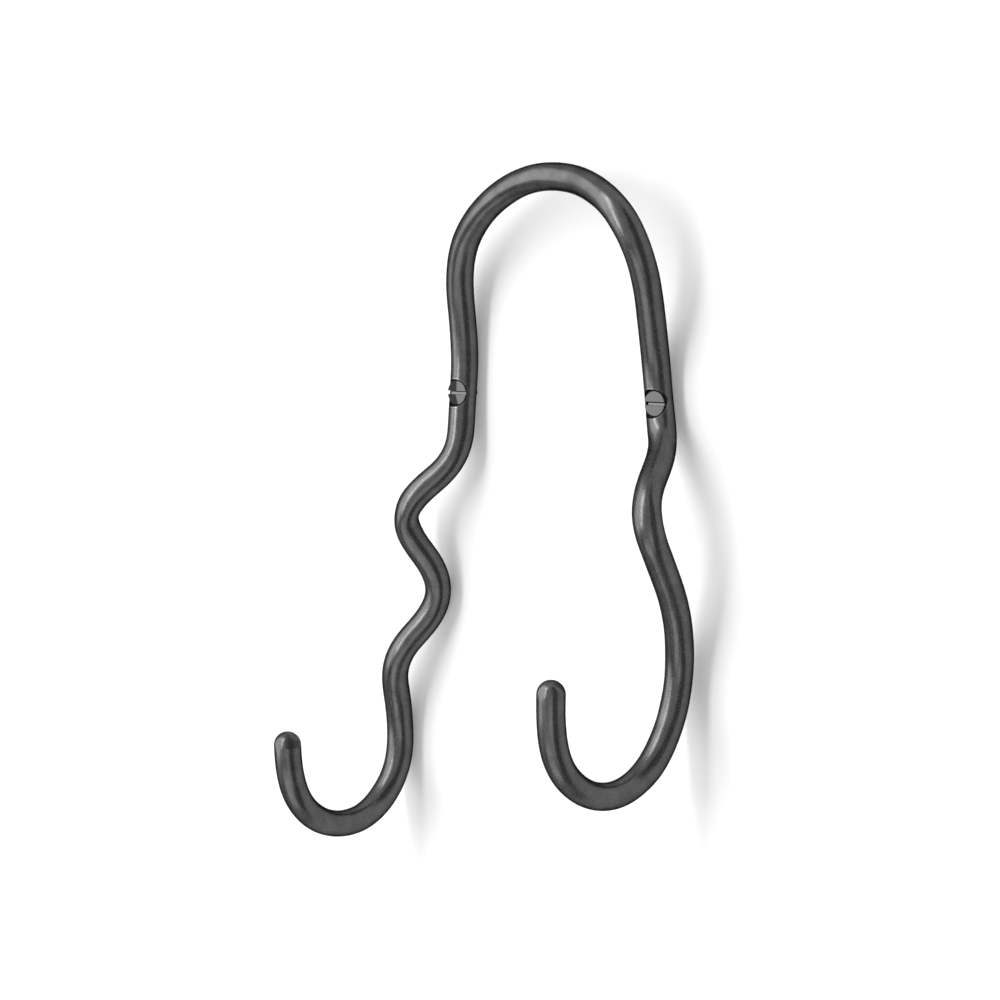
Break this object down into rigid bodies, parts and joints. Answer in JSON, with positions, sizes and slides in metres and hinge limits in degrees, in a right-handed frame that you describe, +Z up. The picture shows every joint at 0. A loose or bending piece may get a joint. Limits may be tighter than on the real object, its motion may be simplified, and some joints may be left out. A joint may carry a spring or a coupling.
{
  "type": "double wall hook",
  "caption": "Wall hook bent from round bar: an arch with wavy legs that curl forward into hooks, held by slotted countersunk screws sunk into the bar.",
  "frame": {"origin": "on the wall's face, midway between the axes of the two wall screws", "axes": "+Z up the wall, +Y into the wall, +X to the right as seen from in front; the hook stands in front of the wall at negative Y"},
  "size_m": [0.1225, 0.0824, 0.1978],
  "materials": {
    "blackened_bar": "blackened, satin, finely brushed",
    "blackened_screw": "blackened, satin"
  },
  "bodies": {
    "root": {"hook_rod": "blackened_bar", "left_screw": "blackened_screw", "right_screw": "blackened_screw"}
  },
  "joints": []
}
